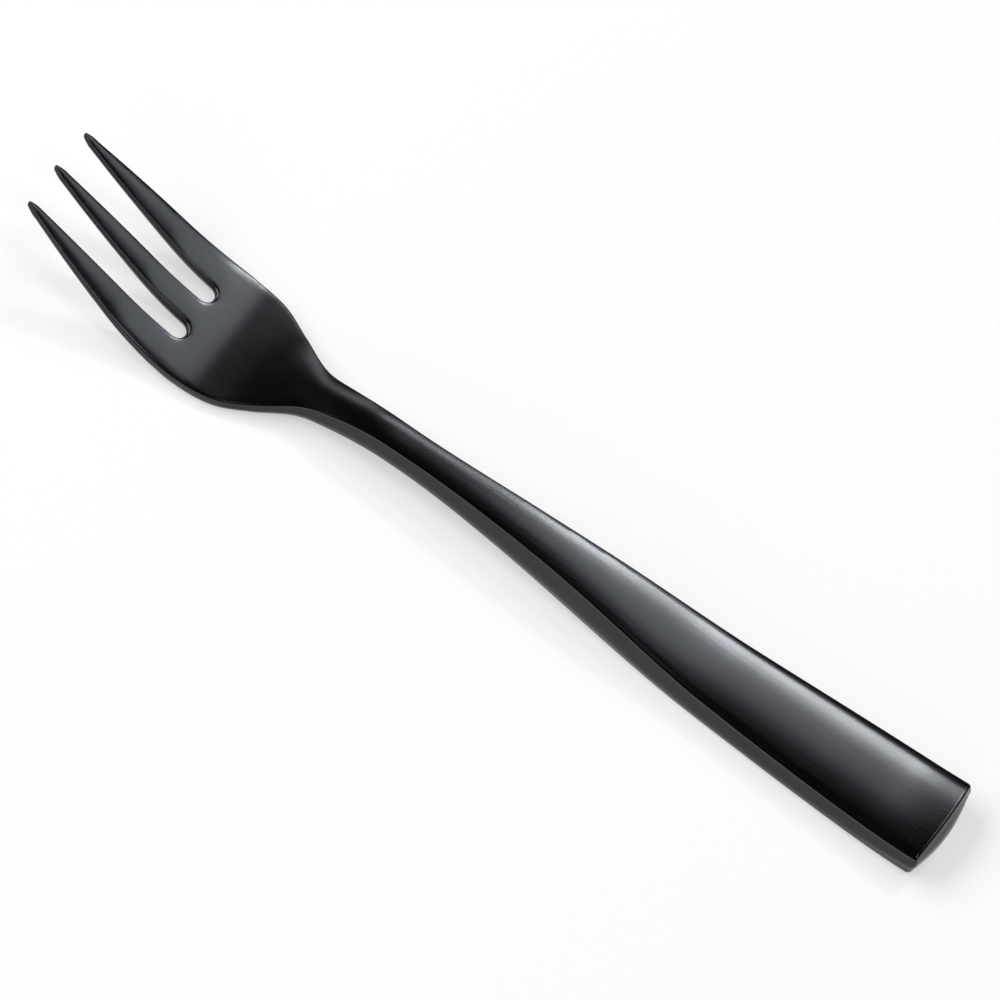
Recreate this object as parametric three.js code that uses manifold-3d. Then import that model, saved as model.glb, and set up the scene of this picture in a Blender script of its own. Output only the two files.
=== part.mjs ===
// A three-tine oyster fork, forged in one piece from stainless strip and finished in satin black.
// It lies face up as on a table. Its length runs along X with the tips towards -X, its width runs
// along Y, and Z is up from the table. Sizes are in millimetres.
// The one forging is divided at flat planes across its length into the parts that a cutler names:
// handle, neck, head and three tines.

import * as THREE from 'three';
import { mergeVertices } from 'three/addons/utils/BufferGeometryUtils.js';
import loadManifold from 'manifold-3d';

// Lengths of the parts, counted from the butt of the handle to the tip of the middle tine
const HANDLE_LENGTH = 70.2;
const NECK_LENGTH = 34.1;
const HEAD_LENGTH = 20.2;
const TINE_LENGTH = 25.5;
const OUTER_TINE_SHORTER = 0.3;

// Plan widths, and how far from the end of its part each one is taken
const BUTT_WIDTH = 16.4;
const GRIP_WIDTH = 13;
const GRIP_FROM_BUTT = 38;
const HANDLE_END_WIDTH = 7.4;
const NECK_WIDTH = 5.7;
const NECK_FROM_HANDLE = 18;
const THROAT_WIDTH = 6.7;
const THROAT_FROM_SHOULDER = 4;
const SHOULDER_WIDTH = 8.1;
const FLARE_WIDTH = 14.3;
const FLARE_FROM_SHOULDER = 5.4;
const CHEEK_WIDTH = 19.9;
const CHEEK_FROM_SHOULDER = 10;
const HEAD_WIDTH = 21.8;
const HEAD_FROM_SHOULDER = 16.5;
const ROOT_WIDTH = 21.7;

// Slots and tines
const SLOT_WIDTH = 2.85;
const SLOT_PITCH = 7.5;
const TIP_PITCH = 7.3;
const TIP_WIDTH = 1.65;
const TINE_BELLY = 0.6;
const TINE_BOW = 0.1;
const POINT_LENGTH = 2;
const POINT_WIDTH = 0.45;

// Underside: flat under the rear of the handle but for a slight lift at the butt, arched under the
// neck, down to the table again at the heel of the head, then up along the tines
const BUTT_LIFT = 0.5;
const BUTT_LIFT_LENGTH = 9;
const REST_LENGTH = 36;
const ARCH_HEIGHT = 2.3;
const ARCH_FROM_HANDLE = 16;
const HEEL_FROM_SHOULDER = 12.6;
const BEND_LENGTH = 16;
const TIP_LIFT = 10.7;

// Thickness of the strip at its edges, and how far the top stands proud in the middle
const BUTT_THICKNESS = 3.2;
const WAIST_THICKNESS = 4.2;
const WAIST_FROM_BUTT = 58;
const NECK_THICKNESS = 3.2;
const SHOULDER_THICKNESS = 2.55;
const HEAD_THICKNESS = 1.5;
const TIP_THICKNESS = 0.8;
const BUTT_CROWN = 0.9;
const NECK_CROWN = 0.45;
const HEAD_CROWN = 0.15;

// Walls swell out past the top and bottom edges by this much
const HANDLE_SWELL = 0.3;
const HEAD_SWELL = 0.2;
const TIP_SWELL = 0.1;

// The butt: an arc in plan, cut back at the top so that its end face looks up, with eased corners
const BUTT_BULGE = 1.3;
const BUTT_CUT_BACK = 1;
const BUTT_CORNER = 0.8;

// Facets: the longest step along the fork, and the columns across a part or a tine
const STEP = 2;
const COLUMNS = 12;
const TINE_COLUMNS = 6;
const ROOT_SIDES = 32;

// Places along the fork, as distances from the butt
const neckStart = HANDLE_LENGTH;
const shoulder = neckStart + NECK_LENGTH;
const root = shoulder + HEAD_LENGTH;
const tip = root + TINE_LENGTH;
const heel = shoulder + HEEL_FROM_SHOULDER;
const archTop = neckStart + ARCH_FROM_HANDLE;
const narrowest = neckStart + NECK_FROM_HANDLE;
const widest = shoulder + HEAD_FROM_SHOULDER;

// A size that runs smoothly along the fork through stations of place and value
function along(...stations) {
  const places = stations.map((station) => station[0]);
  const values = stations.map((station) => station[1]);
  const curve = new THREE.CubicInterpolant(places, values, 1);
  curve.settings = { endingStart: THREE.ZeroSlopeEnding, endingEnd: THREE.ZeroSlopeEnding };
  return (place) => curve.evaluate(place)[0];
}

const widthAt = along(
  [0, BUTT_WIDTH],
  [GRIP_FROM_BUTT, GRIP_WIDTH],
  [neckStart, HANDLE_END_WIDTH],
  [narrowest, NECK_WIDTH],
  [shoulder - THROAT_FROM_SHOULDER, THROAT_WIDTH],
  [shoulder, SHOULDER_WIDTH],
  [shoulder + FLARE_FROM_SHOULDER, FLARE_WIDTH],
  [shoulder + CHEEK_FROM_SHOULDER, CHEEK_WIDTH],
  [widest, HEAD_WIDTH],
  [root, ROOT_WIDTH],
);
const thicknessAt = along(
  [0, BUTT_THICKNESS],
  [WAIST_FROM_BUTT, WAIST_THICKNESS],
  [narrowest, NECK_THICKNESS],
  [shoulder, SHOULDER_THICKNESS],
  [widest, HEAD_THICKNESS],
  [tip, TIP_THICKNESS],
);
const crownAt = along([0, BUTT_CROWN], [narrowest, NECK_CROWN], [shoulder, NECK_CROWN], [widest, HEAD_CROWN]);
const swellAt = along([0, HANDLE_SWELL], [shoulder, HANDLE_SWELL], [widest, HEAD_SWELL], [tip, TIP_SWELL]);
const archAt = along([REST_LENGTH, 0], [archTop, ARCH_HEIGHT], [heel, 0]);

// Height of the underside: the lift at the butt, the arch as far as the heel, then a bend that runs
// into straight tines
function undersideAt(place) {
  const short = Math.max(1 - place / BUTT_LIFT_LENGTH, 0);
  const past = Math.max(place - heel, 0);
  const bent = Math.min(past, BEND_LENGTH);
  const slope = TIP_LIFT / (tip - heel - BEND_LENGTH / 2);
  const tineRise = slope * (bent * bent / (2 * BEND_LENGTH) + past - bent);
  return BUTT_LIFT * short * short + archAt(place) + tineRise;
}

// Evenly spaced places from one place to another, no further apart than a step
function placesBetween(from, to) {
  const count = Math.ceil((to - from) / STEP);
  return Array.from({ length: count + 1 }, (_, i) => THREE.MathUtils.lerp(from, to, i / count));
}

// One ring of points round the fork, between its near and far plan edges: along the underside, up the
// far wall, back over the crowned top and down the near wall. Each point may be set back from the place.
function ringAt(place, near, far, crown, columns, setBack = () => 0) {
  const under = undersideAt(place);
  const thickness = thicknessAt(place);
  const middle = (near + far) / 2;
  const half = (far - near) / 2 - swellAt(place);
  const across = Array.from({ length: columns + 1 }, (_, i) => 2 * i / columns - 1);
  const bottom = across.map((u) => [-place - setBack(u, 0), middle + half * u, under]);
  const top = across.map((u) => {
    const arch = 1 - u * u;
    return [-place - setBack(u, 1), middle + half * u, under + thickness + crown * arch];
  });
  const farWall = [-place - setBack(1, 0), far, under + thickness / 2];
  const nearWall = [-place - setBack(-1, 0), near, under + thickness / 2];
  return [...bottom, farWall, ...top.reverse(), nearWall];
}

// A closed solid through a row of rings that runs from the butt end to the tip end
function sweep(rings) {
  const size = rings[0].length;
  const columns = size / 2 - 2;
  const faces = [];
  for (let i = 0; i + 1 < rings.length; i += 1) {
    for (let k = 0; k < size; k += 1) {
      const a = i * size + k;
      const b = i * size + (k + 1) % size;
      faces.push(a, b + size, b, a, a + size, b + size);
    }
  }
  const topOf = (j) => size - 2 - j;
  const cap = [columns, columns + 1, columns + 2, 0, size - 2, size - 1];
  for (let j = 0; j < columns; j += 1) {
    cap.push(j, j + 1, topOf(j + 1), j, topOf(j + 1), topOf(j));
  }
  const last = (rings.length - 1) * size;
  faces.push(...cap, ...cap.map((k) => last + k).reverse());
  const geometry = new THREE.BufferGeometry();
  geometry.setAttribute('position', new THREE.Float32BufferAttribute(rings.flat(2), 3));
  geometry.setIndex(faces);
  return geometry;
}

// A part whose plan edges lie evenly about the middle of the fork
function symmetricRing(place) {
  const half = widthAt(place) / 2;
  return ringAt(place, -half, half, crownAt(place), COLUMNS);
}

function makeHandle() {
  const half = BUTT_WIDTH / 2 - BUTT_CORNER;
  const setBack = (u, level) => BUTT_BULGE * u * u + level * BUTT_CUT_BACK * (1 - u * u);
  const butt = ringAt(0, -half, half, BUTT_CROWN, COLUMNS, setBack);
  const full = Math.max(BUTT_BULGE, BUTT_CUT_BACK) + BUTT_CORNER;
  return sweep([butt, ...placesBetween(full, neckStart).map(symmetricRing)]);
}

function makeNeck() {
  return sweep(placesBetween(neckStart, shoulder).map(symmetricRing));
}

// The head ends at the root plane, where the round end of each slot is cut out of it
function makeHead(wasm) {
  const solid = (geometry) => {
    geometry.deleteAttribute('normal');
    geometry.deleteAttribute('uv');
    const merged = mergeVertices(geometry);
    const vertProperties = new Float32Array(merged.attributes.position.array);
    const triVerts = new Uint32Array(merged.index.array);
    return new wasm.Manifold(new wasm.Mesh({ numProp: 3, vertProperties, triVerts }));
  };
  let head = solid(sweep(placesBetween(shoulder, root).map(symmetricRing)));
  for (const side of [-1, 1]) {
    const through = 2 * (undersideAt(root) + thicknessAt(shoulder) + ARCH_HEIGHT);
    const slotEnd = new THREE.CylinderGeometry(SLOT_WIDTH / 2, SLOT_WIDTH / 2, 2 * through, ROOT_SIDES);
    slotEnd.rotateX(Math.PI / 2);
    slotEnd.translate(-root, side * SLOT_PITCH / 2, 0);
    head = head.subtract(solid(slotEnd));
  }
  const mesh = head.getMesh();
  const geometry = new THREE.BufferGeometry();
  geometry.setAttribute('position', new THREE.Float32BufferAttribute(mesh.vertProperties, 3));
  geometry.setIndex(Array.from(mesh.triVerts));
  return geometry;
}

// A tine runs from its place at the root to its tip, tapers with a slight belly and ends in a point.
// side is -1 for the near tine, 0 for the middle one and 1 for the far one.
function makeTine(side) {
  const outer = Math.abs(side);
  const slotEdge = (SLOT_PITCH + outer * SLOT_WIDTH - (1 - outer) * SLOT_WIDTH) / 2;
  const rootWidth = outer ? ROOT_WIDTH / 2 - slotEdge : 2 * slotEdge;
  const rootCentre = side * (ROOT_WIDTH / 2 + slotEdge) / 2;
  const end = tip - outer * OUTER_TINE_SHORTER;
  const pointStart = end - POINT_LENGTH;
  const rings = [...placesBetween(root, pointStart), end - POINT_LENGTH / 2, end].map((place) => {
    const run = Math.min((place - root) / (pointStart - root), 1);
    const swollen = 4 * run * (1 - run);
    const point = Math.max(place - pointStart, 0) / POINT_LENGTH;
    const body = THREE.MathUtils.lerp(rootWidth, TIP_WIDTH, run) + TINE_BELLY * swollen;
    const half = THREE.MathUtils.lerp(body, POINT_WIDTH, point * point) / 2;
    const centre = THREE.MathUtils.lerp(rootCentre, side * TIP_PITCH, run) + side * TINE_BOW * swollen;
    return ringAt(place, centre - half, centre + half, HEAD_CROWN, TINE_COLUMNS);
  });
  return sweep(rings);
}

const wasm = await loadManifold();
wasm.setup();

const fork = new THREE.Group();
fork.position.x = tip / 2;
const parts = {
  handle: makeHandle(),
  neck: makeNeck(),
  head: makeHead(wasm),
  tine_left: makeTine(-1),
  tine_middle: makeTine(0),
  tine_right: makeTine(1),
};
for (const [name, geometry] of Object.entries(parts)) {
  const satinBlack = new THREE.MeshStandardMaterial({ color: 0x3b3b3f, roughness: 0.32, metalness: 1 });
  const mesh = new THREE.Mesh(geometry, satinBlack);
  mesh.name = name;
  fork.add(mesh);
}

export default fork;
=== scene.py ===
import math

import bpy
import numpy as np
from mathutils import Matrix, Vector, geometry


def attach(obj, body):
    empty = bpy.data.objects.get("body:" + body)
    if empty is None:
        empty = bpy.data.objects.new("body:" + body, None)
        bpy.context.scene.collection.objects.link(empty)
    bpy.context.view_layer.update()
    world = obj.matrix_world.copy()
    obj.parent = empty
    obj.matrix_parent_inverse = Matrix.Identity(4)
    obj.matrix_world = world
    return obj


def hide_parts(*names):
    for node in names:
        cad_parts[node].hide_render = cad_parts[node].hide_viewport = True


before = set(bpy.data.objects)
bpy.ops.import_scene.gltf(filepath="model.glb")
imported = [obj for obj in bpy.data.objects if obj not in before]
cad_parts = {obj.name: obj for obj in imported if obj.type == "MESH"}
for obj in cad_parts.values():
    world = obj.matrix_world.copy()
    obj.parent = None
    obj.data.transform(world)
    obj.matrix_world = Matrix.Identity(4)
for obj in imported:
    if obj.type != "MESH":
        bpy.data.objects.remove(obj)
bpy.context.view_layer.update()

# The blank
# Strip of stainless steel, blanked in a press to the plan of a small fork: a bowed butt, a tapering handle,
# a slim neck, a flared head and slender tines with round-ended slots between them. Sizes are in millimetres
# and places are distances from the butt, as a cutler measures them.
NECK_AT, SHOULDER_AT, ROOT_AT, TIP_AT = 70.2, 104.3, 124.5, 150.0
OUTER_TIP_AT = 149.7
BUTT_BULGE, BUTT_CORNER = 1.3, 1.1
SLOT, SLOT_PITCH = 2.85, 7.5
TIP_PITCH, TIP_WIDTH = 7.3, 1.65
TINE_BELLY, TINE_BOW = 0.6, 0.1
POINT, POINT_WIDTH = 2.0, 0.45
BUTT_POINTS, TINE_STEPS, POINT_STEPS = 14, 44, 8
SIDE_STEP = 0.6
CORNER_TURNS = np.radians(np.arange(15, 90, 15))
CAP_TURNS = np.radians(np.arange(30, 180, 30))
SLOT_TURNS = np.radians(np.arange(12, 180, 12))


def along(*stations):
    """A size that runs smoothly through its values at places along the fork."""
    place, value = np.array(stations, float).T
    rise = np.diff(value) / np.diff(place)
    slope = np.zeros(len(place))
    slope[1:-1] = (rise[:-1] + rise[1:]) / 2

    def size(at):
        at = np.clip(at, place[0], place[-1])
        i = np.clip(np.searchsorted(place, at) - 1, 0, len(place) - 2)
        run = place[i + 1] - place[i]
        t = (at - place[i]) / run
        start = (1 + 2 * t) * (1 - t) ** 2 * value[i] + t * (1 - t) ** 2 * run * slope[i]
        return start + t * t * (3 - 2 * t) * value[i + 1] + t * t * (t - 1) * run * slope[i + 1]
    return size


width = along((0, 16.4), (38, 13), (70.2, 7.4), (88.2, 5.7), (100.3, 6.7), (104.3, 8.1),
              (109.7, 14.8), (114.3, 19.9), (120.8, 21.8), (124.5, 21.7))


def tine(side, at):
    """Middle and half width of a tine: side 0 is the middle one and 1 the far one."""
    slot_edge = (SLOT_PITCH + (SLOT if side else -SLOT)) / 2
    root_width = width(ROOT_AT) / 2 - slot_edge if side else 2 * slot_edge
    root_middle = side * (width(ROOT_AT) / 2 + slot_edge) / 2
    point_at = (OUTER_TIP_AT if side else TIP_AT) - POINT
    run = np.clip((at - ROOT_AT) / (point_at - ROOT_AT), 0, 1)
    swollen = 4 * run * (1 - run)
    point = np.maximum(at - point_at, 0) / POINT
    body = root_width + (TIP_WIDTH - root_width) * run + TINE_BELLY * swollen
    half = (body + (POINT_WIDTH - body) * point * point) / 2
    middle = root_middle + (side * TIP_PITCH - root_middle) * run + side * TINE_BOW * swollen
    return middle, half


def far_outline():
    """Plan of the far half, from the middle of the butt to the tip of the middle tine."""
    half = width(0.0) / 2
    corner_y = half - BUTT_CORNER
    points = [(BUTT_BULGE * (y / half) ** 2, y) for y in np.linspace(0, corner_y, BUTT_POINTS)]
    start = points[-1][0]
    points += [(start + BUTT_CORNER * (1 - math.cos(turn)), corner_y + BUTT_CORNER * math.sin(turn))
               for turn in CORNER_TURNS]
    cuts = [start + BUTT_CORNER, NECK_AT, SHOULDER_AT, ROOT_AT]
    for a, b in zip(cuts, cuts[1:]):
        places = np.linspace(a, b, int((b - a) / SIDE_STEP), endpoint=False)
        points += [(p, width(p) / 2) for p in places]
    round_tip = POINT_WIDTH / 2
    for side, end in ((1, OUTER_TIP_AT), (0, TIP_AT)):
        out = np.concatenate([np.linspace(ROOT_AT, end - POINT, TINE_STEPS, endpoint=False),
                              np.linspace(end - POINT, end - round_tip, POINT_STEPS)])
        middle, half = tine(side, out)
        cap = [(end - round_tip + round_tip * math.sin(turn), middle[-1] + half[-1] * math.cos(turn))
               for turn in CAP_TURNS]
        points += list(zip(out, middle + half))
        if side:
            points += cap
            points += list(zip(out[::-1], (middle - half)[::-1]))
            points += [(ROOT_AT - SLOT / 2 * math.sin(turn), SLOT_PITCH / 2 + SLOT / 2 * math.cos(turn))
                       for turn in SLOT_TURNS]
    points += [p for p in cap if p[1] > 1e-9]
    points.append((TIP_AT, 0.0))
    return np.array(points)


far = far_outline()
outline = np.concatenate([far, (far * (1, -1))[1:-1][::-1]])
count = len(outline)
leg = np.roll(outline, -1, 0) - outline
leg /= np.linalg.norm(leg, axis=1)[:, None]
heading = leg + np.roll(leg, 1, 0)
heading /= np.linalg.norm(heading, axis=1)[:, None]
outward = np.stack([-heading[:, 1], heading[:, 0]], 1)

# The forged top
# The blank is struck between dies that leave it thickest at the front of the grip and thin at the tips, with
# a crowned top. Tumbling rolls the rims over, and the outer edges of the head and tines keep a fine bevel.
# The fork is then bent: the butt just lifts, the neck arches and the tines turn up from the heel.
BUTT_LIFT, BUTT_LIFT_REACH = 0.5, 9.0
HEEL_AT, BEND, TIP_LIFT = 116.9, 16.0, 10.7
ROLL_POWER = 3
BEVEL_REACH, BEVEL_POWER = 1.5, 1.3
INNER_TINE, OUTER_TINE = 2.3, 5.2
BUTT_RUN_ON = 6.0
SLOPE_STEP = 0.04
BATCH = 400
thickness = along((0, 3.55), (20, 3.25), (38, 3.35), (58, 4.2), (88.2, 3.2), (97, 3.1), (104.3, 2.4),
                  (112, 1.7), (120.8, 1.5), (150, 0.8))
crown = along((0, 0.6), (88.2, 0.3), (97, 0.38), (104.3, 0.52), (110, 0.26), (115, 0.12),
              (124.5, 0.1), (150, 0.06))
tine_crown = along((118, 0), (128, 0.14), (150, 0.14))
bevel = along((112, 0), (121, 0.05), (144, 0.05), (150, 0))
roll = along((0, 0.42), (40, 0.34), (70.2, 0.2), (88.2, 0.12), (104.3, 0.1), (120.8, 0.1), (150, 0.03))
roll_reach = along((0, 2.6), (40, 2.0), (70.2, 1.1), (88.2, 0.8), (120.8, 1.0), (150, 0.5))
arch = along((36, 0), (92, 2.3), (113.5, 0))


def underside(at):
    lift = BUTT_LIFT * np.maximum(1 - at / BUTT_LIFT_REACH, 0) ** 2
    past = np.maximum(at - HEEL_AT, 0)
    bent = np.minimum(past, BEND)
    slope = TIP_LIFT / (TIP_AT - HEEL_AT - BEND / 2)
    return lift + arch(at) + slope * (bent * bent / (2 * BEND) + past - bent)


# The crown falls to the sides alone, so they run straight on past the butt.
first_side = BUTT_POINTS + len(CORNER_TURNS) + 1
far_side = np.concatenate([[(-BUTT_RUN_ON, width(0.0) / 2)], far[first_side:]])
sides = [far_side, far_side * (1, -1)]


def edge_distance(points):
    best = np.full(len(points), np.inf)
    for line in sides:
        start, step = line[:-1], np.diff(line, axis=0)
        length = np.maximum((step * step).sum(1), 1e-12)
        for k in range(0, len(points), BATCH):
            off = points[k:k + BATCH, None, :] - start[None]
            t = np.clip((off * step).sum(2) / length, 0, 1)
            gap = off - t[:, :, None] * step
            best[k:k + BATCH] = np.minimum(best[k:k + BATCH], np.sqrt((gap * gap).sum(2).min(1)))
    return best


def top_height(points):
    at, y = points[:, 0], points[:, 1]
    past_root = np.maximum(at, ROOT_AT)
    outer = np.clip((np.abs(y) - INNER_TINE) / (OUTER_TINE - INNER_TINE), 0, 1)
    reach = tine(0, past_root)[1]
    reach = reach + (tine(1, past_root)[1] - reach) * outer * outer * (3 - 2 * outer)
    gap = edge_distance(points)
    crowned = crown(at) * (1 - (2 * y / width(at)) ** 2)
    crowned = crowned + tine_crown(at) * (1 - (1 - np.minimum(gap / reach, 1)) ** 2)
    rolled = roll(at) * (1 - (1 - np.minimum(gap / roll_reach(at), 1)) ** ROLL_POWER)
    half = np.where(at > ROOT_AT, np.sum(tine(1, at), axis=0), width(at) / 2)
    rolled = rolled - bevel(at) * np.clip(1 - (half - np.abs(y)) / BEVEL_REACH, 0, 1) ** BEVEL_POWER
    return underside(at) + thickness(at) + crowned + rolled


def top_normal(points):
    ahead, aside = (SLOPE_STEP, 0), (0, SLOPE_STEP)
    lengthways = (top_height(points + ahead) - top_height(points - ahead)) / (2 * SLOPE_STEP)
    across = (top_height(points + aside) - top_height(points - aside)) / (2 * SLOPE_STEP)
    normal = np.stack([lengthways, -across, np.ones(len(points))], 1)
    return normal / np.linalg.norm(normal, axis=1)[:, None]


def bottom_normal(at):
    slope = (underside(at + SLOPE_STEP) - underside(at - SLOPE_STEP)) / (2 * SLOPE_STEP)
    normal = np.stack([-slope, np.zeros(len(at)), -np.ones(len(at))], 1)
    return normal / np.linalg.norm(normal, axis=1)[:, None]


# The edges
# The sheared edges are ground and tumbled: a slightly swollen wall between a rounded bottom and top edge,
# rounder underneath at the butt and along the tines. The end of the butt is cut back on a slope.
BUTT_CUT_BACK = 1.0
PLAIN = 9.0
BOTTOM_TURNS = np.radians((90, 67.5, 45, 22.5, 0))
TOP_TURNS = BOTTOM_TURNS[::-1]
WALL_SHARES = (0.25, 0.5, 0.75)
swell = along((0, 0.22), (104.3, 0.22), (120.8, 0.14), (150, 0.06))
top_edge = along((0, 0.5), (104.3, 0.5), (124.5, 0.35), (150, 0.2))
bottom_edge = along((0, 0.5), (104.3, 0.5), (124.5, 0.5), (150, 0.35))
bottom_edge_height = along((0, 1.6), (13, 0.6), (104.3, 0.5), (124.5, 0.8), (150, 0.45))

ring_at, ring_y = outline.T
outer_half, middle_half = tine(1, ring_at)[1], tine(0, ring_at)[1]
narrow = np.where(np.abs(ring_y) > SLOT_PITCH / 2, outer_half, middle_half)
narrow = np.where(ring_at > ROOT_AT, narrow, PLAIN)
top_round = np.minimum(top_edge(ring_at), 0.5 * narrow)
bottom_round = np.minimum(bottom_edge(ring_at), 0.6 * narrow)
bottom_rise = bottom_edge_height(ring_at)
bulge = np.minimum(swell(ring_at), 0.2 * narrow)
at_butt = ring_at < BUTT_BULGE + BUTT_CORNER
cut = np.where(at_butt, BUTT_CUT_BACK * np.maximum(1 - (2 * ring_y / width(0.0)) ** 2, 0), 0)

rows = []
for turn in BOTTOM_TURNS:
    plan = outline - outward * (bulge + bottom_round * (1 - math.cos(turn)))[:, None]
    rows.append((plan, underside(plan[:, 0]) + bottom_rise * (1 - math.sin(turn))))
top_rows = []
for turn in TOP_TURNS:
    plan = outline - outward * (bulge + top_round * (1 - math.cos(turn)))[:, None]
    plan = plan + np.stack([cut, np.zeros(count)], 1)
    top_rows.append((plan, top_height(plan) - top_round * (1 - math.sin(turn))))
low, high = rows[-1], top_rows[0]
for share in WALL_SHARES:
    plan = low[0] + (high[0] - low[0]) * share
    plan = plan + outward * (bulge * (1 - (2 * share - 1) ** 2))[:, None]
    rows.append((plan, low[1] + (high[1] - low[1]) * share))
rows += top_rows

# The skin
# The whole surface of the forging as one mesh: the rows of the edge, and a fine grid that fills the top and
# the underside. Its normals come from the shape itself, so the regions cut from it show no seam.
MM = 0.001
GRID, GRID_HALF_WIDTH = 0.5, 11.0
CLEAR_OF_CUT, CLEAR_OF_EDGE = 0.24, 0.25
SAME_PLACE = 1e-6


def inner_points(loop):
    cuts = (NECK_AT, SHOULDER_AT, ROOT_AT)
    places = [p for p in np.arange(GRID, TIP_AT, GRID) if min(abs(p - c) for c in cuts) > CLEAR_OF_CUT]
    across = np.arange(-GRID_HALF_WIDTH, GRID_HALF_WIDTH + GRID / 5, GRID)
    grid = np.array([(p, y) for p in [*places, *cuts] for y in across])
    inside = np.zeros(len(grid), bool)
    nearest = np.full(len(grid), np.inf)
    for a, b in zip(loop, np.roll(loop, -1, 0)):
        side = b - a
        if side[1] != 0:
            crosses = (a[1] > grid[:, 1]) != (b[1] > grid[:, 1])
            inside ^= crosses & (grid[:, 0] < a[0] + (grid[:, 1] - a[1]) / side[1] * side[0])
        t = np.clip(((grid - a) @ side) / max(side @ side, 1e-12), 0, 1)
        gap = grid - a - t[:, None] * side
        nearest = np.minimum(nearest, np.hypot(gap[:, 0], gap[:, 1]))
    return grid[inside & (nearest > CLEAR_OF_EDGE)]


def fill(loop):
    """Grid points inside a loop and the triangles between them, with edges along the two cuts."""
    inner = inner_points(loop)
    points = np.concatenate([loop, inner])
    edges = [(i, (i + 1) % count) for i in range(count)]
    for place in (NECK_AT, SHOULDER_AT):
        ends = sorted(np.flatnonzero(np.abs(ring_at - place) < SAME_PLACE), key=lambda i: ring_y[i])
        chain = count + np.flatnonzero(np.abs(inner[:, 0] - place) < SAME_PLACE)
        chain = [ends[0], *sorted(chain, key=lambda i: points[i, 1]), ends[1]]
        edges += [(int(a), int(b)) for a, b in zip(chain, chain[1:])]
    made = geometry.delaunay_2d_cdt([Vector(p) for p in points], edges, [list(range(count))], 1, 1e-7)
    assert len(made[0]) == len(points), "the grid lost points"
    return inner, made[2]


bottom_inner, bottom_triangles = fill(rows[0][0])
top_inner, top_triangles = fill(rows[-1][0])
rings = np.concatenate([np.column_stack([plan, z]) for plan, z in rows])
first_top_ring = (len(rows) - 1) * count
first_bottom = len(rings)
first_top = first_bottom + len(bottom_inner)
all_points = np.concatenate([rings,
                             np.column_stack([bottom_inner, underside(bottom_inner[:, 0])]),
                             np.column_stack([top_inner, top_height(top_inner)])])


def skin_faces(triangles, first_ring, first_inner, faces_up):
    turned = []
    for triangle in triangles:
        ids = [first_ring + i if i < count else first_inner + i - count for i in triangle]
        a, b, c = all_points[ids, :2]
        left = (b[0] - a[0]) * (c[1] - a[1]) > (b[1] - a[1]) * (c[0] - a[0])
        turned.append(tuple(ids if left != faces_up else ids[::-1]))
    return turned


faces = []
for first in range(0, first_top_ring, count):
    for i in range(count):
        j = (i + 1) % count
        faces.append((first + i, first + j, first + count + j, first + count + i))
faces += skin_faces(bottom_triangles, 0, first_bottom, False)
faces += skin_faces(top_triangles, first_top_ring, first_top, True)
centres = np.array([all_points[list(face)].mean(0) for face in faces])

# Places run from the butt, so X is turned round.
coords = np.column_stack([TIP_AT / 2 - all_points[:, 0], all_points[:, 1:]]) * MM
whole = bpy.data.meshes.new("whole")
whole.from_pydata(coords.tolist(), [], faces)
whole.update()
normals = np.zeros(len(coords) * 3)
whole.vertex_normals.foreach_get("vector", normals)
normals = normals.reshape(-1, 3)
bpy.data.meshes.remove(whole)
top_ids = [*range(first_top_ring, first_bottom), *range(first_top, len(coords))]
bottom_ids = [*range(count), *range(first_bottom, first_top)]
normals[top_ids] = top_normal(all_points[top_ids, :2])
normals[bottom_ids] = bottom_normal(all_points[bottom_ids, 0])


# The coat
# A thin, hard black coating laid over the whole fork in a vacuum, so it keeps the sheen of the metal. The
# steel below is finely brushed along its length, which shows as a faint grain in colour and gloss.
class Socket:
    def __init__(self, tree, socket=None):
        self.tree, self.socket = tree, socket

    def node(self, kind, settings, inputs, out=0):
        node = self.tree.nodes.new(kind)
        for key, value in settings.items():
            setattr(node, key, value)
        for key, value in inputs.items():
            if isinstance(value, Socket):
                self.tree.links.new(value.socket, node.inputs[key])
            else:
                node.inputs[key].default_value = value
        return Socket(self.tree, node.outputs[out])

    def feed(self, target):
        self.tree.links.new(self.socket, target)

    def maths(self, operation, a, b):
        return self.node("ShaderNodeMath", {"operation": operation}, {0: a, 1: b})

    def __add__(self, other):
        return self.maths("ADD", self, other)

    def __radd__(self, other):
        return self.maths("ADD", other, self)

    def __mul__(self, other):
        return self.maths("MULTIPLY", self, other)

    def __rmul__(self, other):
        return self.maths("MULTIPLY", other, self)


GRAIN_PER_METRE = (40, 2600, 2600)
CLOUD_PER_METRE = 90.0
DARK_GRAIN, PALE_GRAIN = (0.039, 0.0405, 0.043, 1), (0.054, 0.056, 0.0595, 1)
GRAIN_STRENGTH, GRAIN_DEPTH = 0.02, 0.0002


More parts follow.
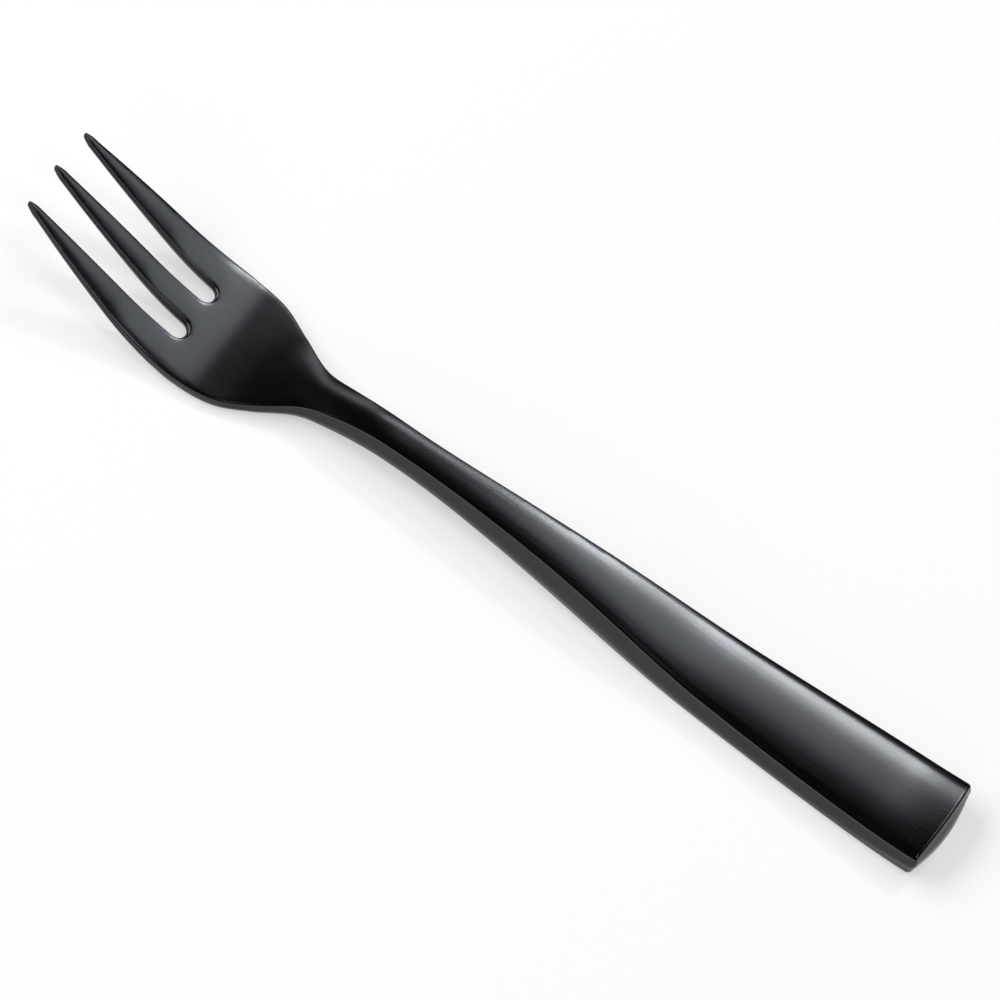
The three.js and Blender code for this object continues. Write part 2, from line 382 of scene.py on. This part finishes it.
def satin_black():
    material = bpy.data.materials.new("satin_black_steel")
    material.use_nodes = True
    tree = material.node_tree
    steel = tree.nodes["Principled BSDF"].inputs
    new = Socket(tree).node
    place = new("ShaderNodeTexCoord", {}, {}, "Object")
    drawn = new("ShaderNodeVectorMath", {"operation": "MULTIPLY"}, {0: place, 1: GRAIN_PER_METRE})
    grain = new("ShaderNodeTexNoise", {}, {"Vector": drawn, "Scale": 1.0, "Detail": 3.0, "Roughness": 0.6})
    cloud = new("ShaderNodeTexNoise", {}, {"Vector": place, "Scale": CLOUD_PER_METRE, "Detail": 2.0})
    roughness = 0.14 + 0.08 * grain + 0.04 * cloud
    colour = new("ShaderNodeMix", {"data_type": "RGBA"}, {"Factor": grain, 6: DARK_GRAIN, 7: PALE_GRAIN}, 2)
    bump = new("ShaderNodeBump", {}, {"Strength": GRAIN_STRENGTH, "Distance": GRAIN_DEPTH, "Height": grain})
    colour.feed(steel["Base Color"])
    roughness.feed(steel["Roughness"])
    bump.feed(steel["Normal"])
    steel["Metallic"].default_value = 1.0
    return material


satin = satin_black()

# The handle
# The flat-bottomed grip at the rear of the forging, from the bowed butt to where the neck begins. It is one
# with the neck, and only the plane between them parts the two here.


def region(name, inside):
    own = [faces[i] for i in np.flatnonzero(inside)]
    used = np.unique([k for face in own for k in face])
    slot_of = {int(k): n for n, k in enumerate(used)}
    mesh = bpy.data.meshes.new(name)
    mesh.from_pydata(coords[used].tolist(), [], [tuple(slot_of[int(k)] for k in face) for face in own])
    mesh.polygons.foreach_set("use_smooth", [True] * len(mesh.polygons))
    mesh.update()
    mesh.normals_split_custom_set_from_vertices(normals[used].tolist())
    mesh.materials.append(satin)
    form = bpy.data.objects.new(name + "_form", mesh)
    bpy.context.scene.collection.objects.link(form)
    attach(form, "root")
    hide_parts(name)


face_at, face_y = centres[:, 0], centres[:, 1]
region("handle", face_at < NECK_AT)

# The neck
# The slim bar of the forging that arches off the table between the handle and the head.
# It is drawn down from the same strip, and stiff because it is deep for its width.
region("neck", (face_at > NECK_AT) & (face_at < SHOULDER_AT))

# The head
# The flared plate at the front of the forging, which touches the table at its heel.
# The round ends of the slots are punched in it when the blank is cut.
region("head", (face_at > SHOULDER_AT) & (face_at < ROOT_AT))

# The tines
# Slender prongs left between the slots, one with the head. They are thinned, turned up and tumbled
# so that their edges and points are round.
on_tines = face_at > ROOT_AT
region("tine_left", on_tines & (face_y < -SLOT_PITCH / 2))
region("tine_middle", on_tines & (np.abs(face_y) < SLOT_PITCH / 2))
region("tine_right", on_tines & (face_y > SLOT_PITCH / 2))

# The table
# A wide sheet of matt white board that the fork lies on. It glows a little to the camera and in the metal,
# which takes it to white and leaves the fork's shadow on it.
TABLE_HALF = 6.0
TABLE_DROP = 0.00002
TABLE_WHITE = (0.94, 0.94, 0.94, 1)
GLOW_SHARE = 0.5
board = bpy.data.meshes.new("table")
board.from_pydata([(-TABLE_HALF, -TABLE_HALF, 0), (TABLE_HALF, -TABLE_HALF, 0),
                   (TABLE_HALF, TABLE_HALF, 0), (-TABLE_HALF, TABLE_HALF, 0)], [], [(0, 1, 2, 3)])
table = bpy.data.objects.new("table", board)
bpy.context.scene.collection.objects.link(table)
table.location.z = -TABLE_DROP
white = bpy.data.materials.new("table_white")
white.use_nodes = True
shading = white.node_tree
matt = shading.nodes["Principled BSDF"]
matt.inputs["Base Color"].default_value = TABLE_WHITE
matt.inputs["Roughness"].default_value = 0.9
seen = Socket(shading).node("ShaderNodeLightPath", {}, {}, "Is Camera Ray")
mirrored = Socket(shading, seen.socket.node.outputs["Is Glossy Ray"])
through = Socket(shading, seen.socket.node.outputs["Is Transmission Ray"])
glow = seen.node("ShaderNodeEmission", {}, {"Color": (1, 1, 1, 1), "Strength": 1.0})
both = seen.node("ShaderNodeMixShader", {}, {0: GLOW_SHARE * (seen + mirrored + through),
                                             1: Socket(shading, matt.outputs[0]), 2: glow})
both.feed(shading.nodes["Material Output"].inputs["Surface"])
board.materials.append(white)

# The camera
# A long lens well above the near side of the table, rolled so that the fork lies from corner to corner.
# The point it aims at is placed by the pixel of the square picture where it shows.
AZIMUTH, ELEVATION, ROLL = np.radians((7.065, 54.2, 29.1))
PICTURE, PIXELS_PER_METRE = 1000, 7430.0
ACROSS, DOWN = 495.8, 511.4
DISTANCE, SENSOR = 2.0, 36
AIM = Vector((0, 0, 0.004))
back = Vector((math.sin(AZIMUTH) * math.cos(ELEVATION), -math.cos(AZIMUTH) * math.cos(ELEVATION),
               math.sin(ELEVATION)))
level = Vector((math.cos(AZIMUTH), math.sin(AZIMUTH), 0))
upright = back.cross(level)
right = level * math.cos(ROLL) + upright * math.sin(ROLL)
up = upright * math.cos(ROLL) - level * math.sin(ROLL)
spot = AIM + back * DISTANCE
spot -= right * ((ACROSS - PICTURE / 2) / PIXELS_PER_METRE)
spot += up * ((DOWN - PICTURE / 2) / PIXELS_PER_METRE)
lens = bpy.data.cameras.new("camera")
lens.sensor_width = SENSOR
lens.lens = SENSOR * DISTANCE * PIXELS_PER_METRE / PICTURE
lens.clip_end = 50
camera = bpy.data.objects.new("camera", lens)
bpy.context.scene.collection.objects.link(camera)
camera.matrix_world = Matrix.Translation(spot) @ Matrix((right, up, back)).transposed().to_4x4()
bpy.context.scene.camera = camera


# The light
# A narrow window and its broad glow beyond the fork draw the bright band along the far side of the handle.
# Soft boxes at the sides and in front light the table, and the room is otherwise dark. Azimuths run from
# the far side towards the butt, and sizes and distances are in metres.
def soft_box(name, azimuth, elevation, distance, wide, tall, radiance, colour=(1, 1, 1)):
    around, above = math.radians(azimuth), math.radians(elevation)
    way = Vector((math.sin(around) * math.cos(above), math.cos(around) * math.cos(above), math.sin(above)))
    lamp = bpy.data.lights.new(name, "AREA")
    lamp.shape = "RECTANGLE"
    lamp.size, lamp.size_y = wide, tall
    lamp.energy = radiance * math.pi * wide * tall
    lamp.color = colour
    box = bpy.data.objects.new(name, lamp)
    bpy.context.scene.collection.objects.link(box)
    box.location = way * distance
    box.rotation_euler = way.to_track_quat("Z", "Y").to_euler()


ROOM_STRENGTH = 0.01
soft_box("window", 2.2, 43, 1.5, 0.26, 0.09, 36.0)
soft_box("window_side", -13, 42, 1.5, 0.25, 0.10, 8.0)
soft_box("window_glow", 18.5, 45, 1.6, 0.88, 0.94, 2.0, (0.97, 0.99, 1.04))
soft_box("edge_strip", -26, 34, 1.6, 0.31, 0.28, 2.4)
soft_box("left_fill", -100, 36, 1.8, 2.4, 0.8, 6.6)
soft_box("right_fill", 100, 68, 1.5, 0.55, 0.55, 4.4)
soft_box("near_fill", 180, 14, 1.8, 3.0, 0.7, 1.8)
room = bpy.data.worlds.new("studio")
bpy.context.scene.world = room
room.use_nodes = True
room.node_tree.nodes["Background"].inputs["Color"].default_value = (1, 1, 1, 1)
room.node_tree.nodes["Background"].inputs["Strength"].default_value = ROOM_STRENGTH
bpy.context.scene.view_settings.view_transform = "Standard"
